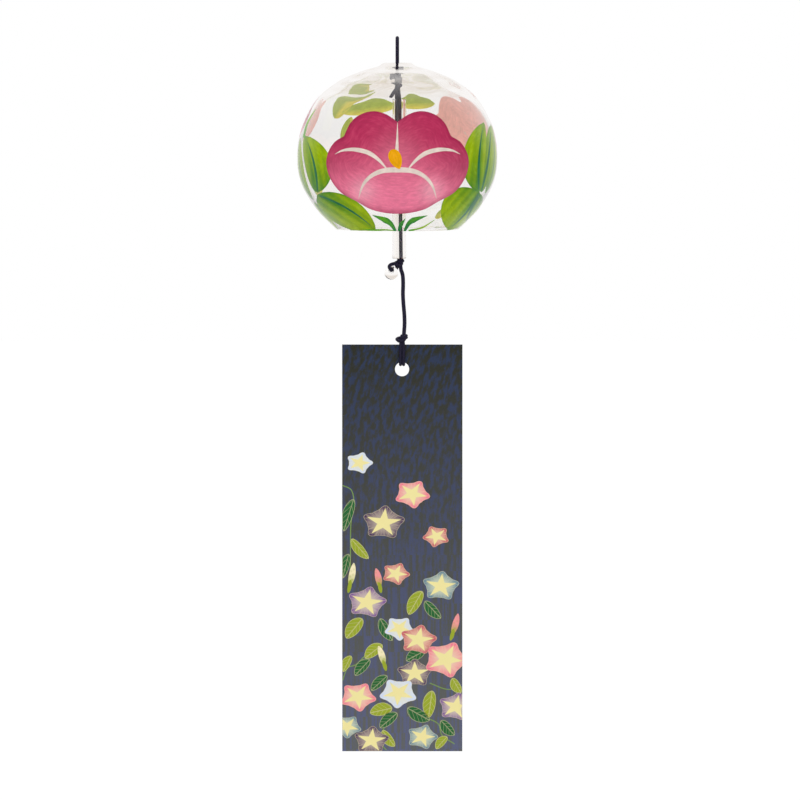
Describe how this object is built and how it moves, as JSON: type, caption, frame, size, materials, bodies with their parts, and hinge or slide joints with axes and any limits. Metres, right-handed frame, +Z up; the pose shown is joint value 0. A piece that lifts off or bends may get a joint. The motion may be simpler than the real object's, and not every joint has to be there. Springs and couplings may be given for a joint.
{
  "type": "glass wind bell",
  "caption": "Blown glass wind bell with painted flowers, a glass tube clapper and a long paper strip, all hung on one dark cord.",
  "frame": {"origin": "inside of the hanging loop's top, where a hook holds the part", "axes": "+Z up along the hanging cord, +X to the right and -Y to the front, seen as in the picture"},
  "size_m": [0.08, 0.08, 0.2867],
  "materials": {
    "bell_glass": "gloss",
    "clapper_glass": "gloss",
    "cord": "matte",
    "strip_paper": "matte"
  },
  "bodies": {
    "hanger": {"hanging_loop": "cord"},
    "stopper": {"stopper_knot": "cord"},
    "bell": {"glass_bell": "bell_glass"},
    "clapper": {"clapper_cord": "cord", "lower_knot": "cord", "bead_loop": "cord"},
    "tube": {"clapper_tube": "clapper_glass"},
    "bead": {"glass_bead": "clapper_glass"},
    "strip_line": {"strip_cord": "cord"},
    "strip_hanger": {"strip_knot": "cord", "strip_loop": "cord"},
    "strip": {"paper_strip": "strip_paper"}
  },
  "joints": [
    {"name": "cord_twist", "type": "hinge", "parent": "hanger", "child": "stopper", "pos_m": [0, 0, -0.01356], "axis": [0, 0, 1], "continuous": true},
    {"name": "bell_rock", "type": "hinge", "parent": "stopper", "child": "bell", "pos_m": [0, 0, -0.01356], "axis": [0, 1, 0], "range_deg": [-6, 6]},
    {"name": "clapper_swing", "type": "hinge", "parent": "stopper", "child": "clapper", "pos_m": [0, 0, -0.01356], "axis": [0, 1, 0], "range_deg": [-17, 18]},
    {"name": "tube_slide", "type": "slide", "parent": "clapper", "child": "tube", "axis": [0, 0, 1], "range_m": [0, 0.004]},
    {"name": "bead_swing", "type": "hinge", "parent": "clapper", "child": "bead", "pos_m": [-0.0024, 0.0008, -0.09216], "axis": [0, 1, 0], "range_deg": [-10, 25]},
    {"name": "strip_cord_swing", "type": "hinge", "parent": "clapper", "child": "strip_line", "pos_m": [0.00075, 0, -0.08916], "axis": [1, 0, 0], "range_deg": [-45, 45]},
    {"name": "strip_twist", "type": "hinge", "parent": "strip_line", "child": "strip_hanger", "pos_m": [0.0019, 0, -0.11963], "axis": [0, 0, 1], "continuous": true},
    {"name": "strip_swing", "type": "hinge", "parent": "strip_hanger", "child": "strip", "pos_m": [0.0019, 0, -0.12996], "axis": [0, 1, 0], "range_deg": [-8, 8]}
  ]
}
